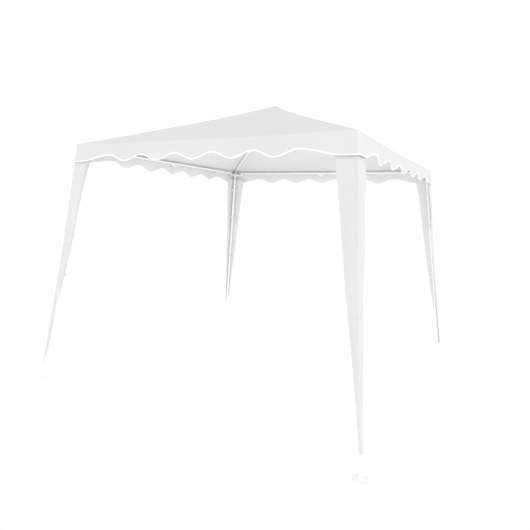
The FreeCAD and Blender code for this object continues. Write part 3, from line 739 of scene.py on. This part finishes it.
def build_valance_corners():
    """The sewn strip down each corner of the valance, with a row of thread on each side."""
    width = 0.013
    for corner, (sx, sy) in CORNERS.items():
        surface_a, surface_b = (
            valance_surface(side, facing, along, 0.0010)
            for _, side, at_corner, facing, along in half_sides() if at_corner == corner
        )

        def strip(c, v):
            first = surface_a(1 - np.abs(c) * width / HALF, v)
            second = surface_b(1 - np.abs(c) * width / HALF, v)
            return np.where((c < 0)[..., None], first, second)

        cs = np.concatenate([-np.geomspace(1, 0.02, 8), np.geomspace(0.02, 1, 8)])
        vs = np.linspace(-0.6, 0.97, 20)
        u, v = (m.ravel() for m in np.meshgrid(cs, vs, indexing="ij"))
        points, normals = sample(strip, u, v)
        normals *= np.sign(normals @ np.array((sx, sy, 0.0)))[:, None]
        weave = np.stack([u * width, v * DEEP], axis=-1)
        piece = shell(
            f"valance_corner_{corner}", points, normals, grid_faces(len(cs), len(vs)), weave,
            SEAM_TAPE, 0.0009,
        )
        rows = []
        fine = np.linspace(-0.5, 0.95, 60)
        for c in (-0.75, 0.75):
            line, out = sample(strip, np.full_like(fine, c), fine)
            rows.append((line, out * np.sign(out @ np.array((sx, sy, 0.0)))[:, None]))
        stitches = threads(f"valance_corner_stitches_{corner}", rows, THREAD)
        for item in (piece, stitches):
            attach(item, f"corner_{corner}")
            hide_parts("roof_cover")


# ---------------------------------------------------------------- leg covers

COVER_CORNER = 0.020  # leg axis to the outer faces
COVER_TOP = 0.022  # leg pin to the top, down the leg
COVER_TIP = 1.860
COVER_WIDE = 0.154  # a flap at its top, and at its tip
COVER_NARROW = 0.010
COVER_BEND = 0.006
SEAM_WIDTH = 0.013
HEM_WIDTH = 0.012
TIE_HEIGHTS = (0.16, 0.52, 0.90)
TIE_HALF_WIDTH = 0.010
TIE_THICK = 0.0012
TIE_LOOP = 0.0136


def leg_frame(corner):
    """The leg pin, the way down the leg, and the two outward directions square to the flaps."""
    pin = np.array(JOINTS[f"leg_fold_{corner}"]["pos_m"], float)
    down = unit(-np.array(JOINTS[f"leg_slide_{corner}"]["axis"], float))
    down = down if down[2] < 0 else -down
    outward = np.array((*CORNERS[corner], 0.0))
    outward = unit(outward - (outward @ down) * down)
    sideways = np.cross(down, outward)
    return pin, down, unit(outward + sideways), unit(outward - sideways)


def cover_width(s):
    share = (s - COVER_TOP) / (COVER_TIP - COVER_TOP)
    return COVER_WIDE + (COVER_NARROW - COVER_WIDE) * share


def cover_spread(v):
    """How much further out the cover stands near its top, where the valance's corner holds it."""
    return 0.014 * (1 - smooth(v, 0.10, 0.95)) - 0.0055 * (1 - smooth(v, 0.04, 0.13))


def cover_surface(corner, lift=0.0):
    """u runs across both flaps from -1 to 1 with the leg's outer edge at 0, v down the leg."""
    pin, down, first, second = leg_frame(corner)
    seed = list(CORNERS).index(corner) * 9.0

    def surface(u, v):
        width = cover_width(v)
        bend = COVER_BEND
        run = np.abs(u) * width
        turn = np.clip(run / bend, 0, math.pi / 4)
        beyond = np.maximum(run - bend * math.pi / 4, 0)
        # where u < 0, the flap faces first and runs away from second; where u > 0, the other way
        off = COVER_CORNER - bend + bend * np.cos(math.pi / 4 - turn)
        side = COVER_CORNER - bend + bend * np.sin(math.pi / 4 - turn) - beyond
        free = np.clip(run / width, 0, 1)
        place = np.stack([v * 3.0, np.sign(u) * 2.0 + free * 0.6, np.zeros_like(v)], axis=-1)
        billow = 0.0045 * np.sin(math.pi * free) * smooth(v, 0.1, 0.5)
        flutter = 0.0075 * ripple(place, 1.0, seed) * free**1.5 * smooth(v, 0.06, 0.4)
        seam = 0.0007 * smooth(SEAM_WIDTH - run, 0, 0.0012)
        hem = 0.0006 * smooth(run - (width - HEM_WIDTH), 0, 0.0012)
        spread = cover_spread(v)
        off = off + billow + flutter + seam + hem + spread + lift
        side = side + spread + (seam + lift) * (turn < math.pi / 4) * np.sin(math.pi / 4 - turn)
        flips = (u < 0)[..., None]
        facing = np.where(flips, first, second)
        other = np.where(flips, second, first)
        return pin + v[..., None] * down + off[..., None] * facing + side[..., None] * other

    return surface


def cover_columns():
    """Shares across one flap, close together at the corner, the seam's edge and the hem."""
    seam = SEAM_WIDTH / COVER_WIDE
    hem = 1 - HEM_WIDTH / COVER_WIDE
    near = np.linspace(0.004, seam - 0.004, 7)
    step = np.array([seam, seam + 0.008])
    middle = np.linspace(seam + 0.03, hem - 0.03, 14)
    far = np.array([hem - 0.006, hem + 0.008, 0.97, 1.0])
    right = np.concatenate([near, step, middle, far])
    return np.concatenate([-right[::-1], right])


def build_leg_covers():
    for corner in CORNERS:
        surface = cover_surface(corner)
        pin, down, first, second = leg_frame(corner)
        outward = unit(first + second)
        us = cover_columns()
        vs = np.linspace(COVER_TOP, COVER_TIP, 130)
        cover = grid_shell(
            f"leg_cover_cloth_{corner}", surface, us, vs, outward, (COVER_WIDE, 1.0), CANVAS_LEG
        )
        fine = np.linspace(COVER_TOP + 0.004, COVER_TIP - 0.004, 300)
        rows = []
        for sign in (-1, 1):
            for distance in (SEAM_WIDTH - 0.003, None):
                width = cover_width(fine)
                run = distance if distance is not None else width - HEM_WIDTH + 0.002
                line, out = sample(surface, sign * run / width, fine)
                rows.append((line, out * np.sign(out @ outward)[:, None]))
        stitches = threads(f"leg_cover_stitches_{corner}", rows, THREAD)
        ties = leg_ties(corner)
        for piece in (cover, stitches, ties):
            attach(piece, f"leg_upper_{corner}")
            tuple(down)
            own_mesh(piece)
            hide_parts(f"leg_cover_{corner}")


def leg_ties(corner):
    """Narrow straps behind the cover that go round the leg's tube and are sewn to both flaps."""
    pin, down, first, second = leg_frame(corner)
    inward = -unit(first + second)
    points, faces, weave = [], [], []
    for height in TIE_HEIGHTS:
        inner_face = COVER_CORNER + float(cover_spread(np.array(height))) - 0.0022
        outline = []
        for flap, other in ((first, second), (second, first)):
            start = inner_face * flap - 0.030 * other
            near = (inner_face - 0.0004) * flap - 0.012 * other
            leave = TIE_LOOP * unit(flap * 0.75 - other * 0.66)
            outline.append([start, near, leave])
        turn = np.linspace(0.75, -0.75, 13)
        sideways = unit(np.cross(down, inward))
        arc = [TIE_LOOP * (math.cos(t) * inward + math.sin(t) * sideways) for t in turn]
        if np.dot(arc[0] - arc[-1], outline[0][2] - outline[1][2]) < 0:
            arc = arc[::-1]
        path = np.array([*outline[0], *arc, *reversed(outline[1])])
        along = unit(np.gradient(path, axis=0))
        out = unit(np.cross(along, down))
        run = np.concatenate([[0], np.cumsum(np.linalg.norm(np.diff(path, axis=0), axis=1))])
        for k, (p, n) in enumerate(zip(path, out)):
            base = len(points)
            for side, layer in ((-1, 0), (1, 0), (1, TIE_THICK), (-1, TIE_THICK)):
                shift = side * TIE_HALF_WIDTH
                points.append(pin + (height + shift) * down + p + layer * n)
                weave.append((run[k], shift))
            if k:
                faces += [
                    (base - 4 + i, base - 4 + (i + 1) % 4, base + (i + 1) % 4, base + i)
                    for i in range(4)
                ]
            else:
                faces.append((base + 3, base + 2, base + 1, base))
        faces.append((base, base + 1, base + 2, base + 3))
    piece = new_object(f"leg_ties_{corner}", points, faces, SEAM_TAPE, rounded=False)
    weave_attribute(piece, np.array(weave))
    return piece


# ---------------------------------------------------------------- stage, light and camera

CAMERA_TURNS = (-28.82, -6.60, 2.28)  # azimuth, elevation and roll in degrees
CAMERA_PLACE = (2.1635, -4.0127, 1.557)
CAMERA_LENS = 31.395


def build_stage():
    bpy.ops.mesh.primitive_grid_add(x_subdivisions=4, y_subdivisions=4, size=80)
    floor = bpy.context.object
    floor.name = "stage_floor"
    m = Nodes("floor_pale")
    place = m.place()
    colour = m.ramp(m.noise(place, 0.8, 2.0), shades(0.96, 0.004))
    m.set(Specular_IOR_Level=0.1)
    roughness = m.range(m.noise(place, 4.0), 0.85, 0.95)
    floor.data.materials.append(
        m.finish(colour, roughness, m.bump(m.noise(place, 30.0), 0.0005))
    )


def add_lamp(name, light, place, aim):
    lamp = bpy.data.objects.new(name, light)
    lamp.location = place
    lamp.rotation_euler = (place - aim).to_track_quat("Z", "Y").to_euler()
    lamp.visible_camera = False
    bpy.context.scene.collection.objects.link(lamp)


def build_light():
    world = bpy.data.worlds.new("studio")
    bpy.context.scene.world = world
    world.use_nodes = True
    tree = world.node_tree
    background = tree.nodes["Background"]
    place = tree.nodes.new("ShaderNodeTexCoord")
    split = tree.nodes.new("ShaderNodeSeparateXYZ")
    ramp = tree.nodes.new("ShaderNodeValToRGB")
    ramp.color_ramp.elements[0].position = 0.0
    ramp.color_ramp.elements[0].color = (1.0, 1.0, 1.0, 1.0)
    ramp.color_ramp.elements[1].position = 0.7
    ramp.color_ramp.elements[1].color = (0.80, 0.80, 0.80, 1.0)
    tree.links.new(place.outputs["Generated"], split.inputs[0])
    tree.links.new(split.outputs["Z"], ramp.inputs["Fac"])
    tree.links.new(ramp.outputs["Color"], background.inputs["Color"])
    background.inputs["Strength"].default_value = 1.24

    key = bpy.data.lights.new("soft_key", "SUN")
    key.energy = 0.45
    key.angle = math.radians(60)
    add_lamp("soft_key", key, Vector((0.85, -0.45, 0.40)), Vector((0.0, 0.0, 0.0)))
    fill = bpy.data.lights.new("soft_fill", "POINT")
    fill.energy = 13
    fill.shadow_soft_size = 0.8
    add_lamp("soft_fill", fill, Vector((0.0, 0.0, 0.5)), Vector((0.0, 0.0, 0.0)))
    inner = bpy.data.lights.new("inner_front", "AREA")
    inner.energy = 8
    inner.size = 1.6
    add_lamp("inner_front", inner, Vector((0.2, -1.3, 0.9)), Vector((0.2, 0.0, 0.9)))


def build_camera():
    azimuth, elevation, roll = (math.radians(x) for x in CAMERA_TURNS)
    forward = Vector((
        math.sin(azimuth) * math.cos(elevation),
        math.cos(azimuth) * math.cos(elevation),
        math.sin(elevation),
    ))
    level = Vector((math.cos(azimuth), -math.sin(azimuth), 0))
    above = level.cross(forward)
    right = level * math.cos(roll) + above * math.sin(roll)
    top = above * math.cos(roll) - level * math.sin(roll)
    camera = bpy.data.objects.new("camera", bpy.data.cameras.new("camera"))
    bpy.context.scene.collection.objects.link(camera)
    camera.matrix_world = Matrix.Translation(CAMERA_PLACE) @ Matrix(
        (right, top, -forward)
    ).transposed().to_4x4()
    camera.data.sensor_width = 36.0
    camera.data.lens = CAMERA_LENS
    camera.data.clip_end = 200
    bpy.context.scene.camera = camera
    bpy.context.scene.view_settings.view_transform = "Standard"


finish_cad_nodes()
build_roof()
build_peak()
build_hip_seams()
build_valances()
build_valance_corners()
build_leg_covers()
build_stage()
build_light()
build_camera()

bpy.context.view_layer.update()
